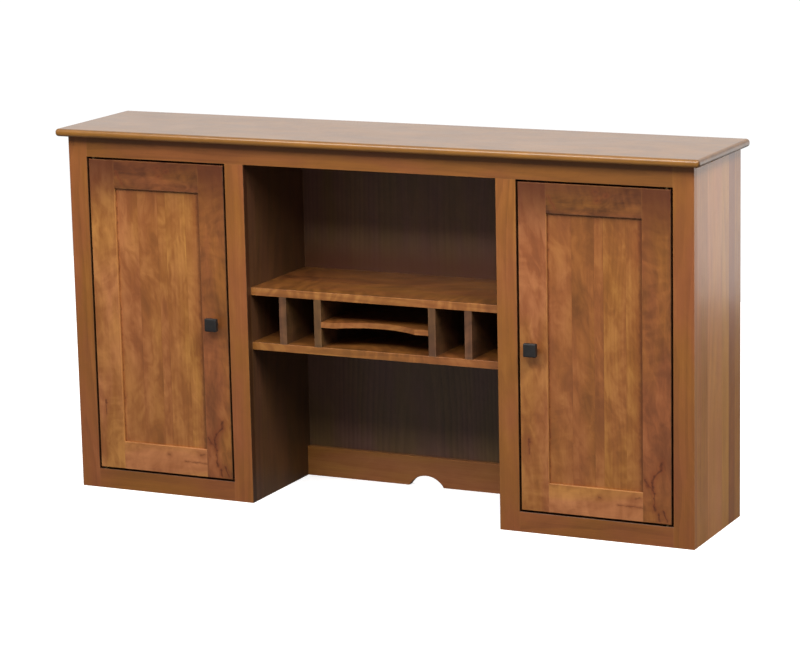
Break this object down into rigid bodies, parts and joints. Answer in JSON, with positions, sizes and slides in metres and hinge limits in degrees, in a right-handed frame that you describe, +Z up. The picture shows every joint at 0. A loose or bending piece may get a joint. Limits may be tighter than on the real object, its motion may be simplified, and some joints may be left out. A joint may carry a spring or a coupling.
{
  "type": "desk hutch",
  "caption": "Desk hutch to stand on a desk: side cupboards with inset framed doors, an open bay between them with a letter organiser, and a slab top.",
  "frame": {"origin": "under the middle of the slab, on the surface that the hutch stands on", "axes": "+X to the right as seen from the front, +Y to the back, +Z up"},
  "size_m": [1.676, 0.343, 0.908],
  "materials": {
    "top_wood": "satin lacquer over stain",
    "frame_wood": "satin lacquer over stain",
    "side_wood": "satin lacquer over stain",
    "door_wood": "satin, figured rustic boards",
    "panel_wood": "satin, glued staves",
    "inner_wood": "satin lacquer over stain",
    "organizer_wood": "satin lacquer",
    "back_plywood": "stained veneer",
    "brass": "brushed",
    "zinc_screw": "zinc plated",
    "nickel_pin": "nickel plated",
    "catch_plastic": "moulded brown",
    "black_knob": "satin black"
  },
  "bodies": {
    "root": {"top_slab": "top_wood", "face_top_rail": "frame_wood", "back_panel": "back_plywood", "back_rail": "frame_wood", "bay_front_cleat": "inner_wood", "bay_rear_cleat": "inner_wood", "slab_screws": "zinc_screw", "organizer_upper_shelf": "organizer_wood", "organizer_lower_shelf": "organizer_wood", "letter_shelf": "organizer_wood", "shelf_pins": "nickel_pin", "frame_leaf_screws": "brass", "catch_screws": "zinc_screw", "divider_1": "organizer_wood", "divider_2": "organizer_wood", "divider_3": "organizer_wood", "divider_4": "organizer_wood", "left_side_panel": "side_wood", "left_partition": "inner_wood", "left_cabinet_floor": "inner_wood", "left_cabinet_cleat": "inner_wood", "left_outer_stile": "frame_wood", "left_inner_stile": "frame_wood", "left_bottom_rail": "frame_wood", "left_lower_shelf": "inner_wood", "left_upper_shelf": "inner_wood", "left_frame_leaves": "brass", "left_catch": "catch_plastic", "right_side_panel": "side_wood", "right_partition": "inner_wood", "right_cabinet_floor": "inner_wood", "right_cabinet_cleat": "inner_wood", "right_outer_stile": "frame_wood", "right_inner_stile": "frame_wood", "right_bottom_rail": "frame_wood", "right_lower_shelf": "inner_wood", "right_upper_shelf": "inner_wood", "right_frame_leaves": "brass", "right_catch": "catch_plastic"},
    "left_door": {"left_door_hinge_stile": "door_wood", "left_door_free_stile": "door_wood", "left_door_top_rail": "door_wood", "left_door_bottom_rail": "door_wood", "left_door_panel": "panel_wood", "left_door_leaves": "brass", "left_door_leaf_screws": "brass", "left_strike_plate": "zinc_screw", "left_knob": "black_knob", "left_knob_screw": "zinc_screw"},
    "right_door": {"right_door_hinge_stile": "door_wood", "right_door_free_stile": "door_wood", "right_door_top_rail": "door_wood", "right_door_bottom_rail": "door_wood", "right_door_panel": "panel_wood", "right_door_leaves": "brass", "right_door_leaf_screws": "brass", "right_strike_plate": "zinc_screw", "right_knob": "black_knob", "right_knob_screw": "zinc_screw"}
  },
  "joints": [
    {"name": "left_door_hinge", "type": "hinge", "parent": "root", "child": "left_door", "pos_m": [-0.7492, -0.137, 0.4435], "axis": [0, 0, -1], "range_deg": [0, 110]},
    {"name": "right_door_hinge", "type": "hinge", "parent": "root", "child": "right_door", "pos_m": [0.7492, -0.137, 0.4435], "axis": [0, 0, 1], "range_deg": [0, 110]}
  ]
}
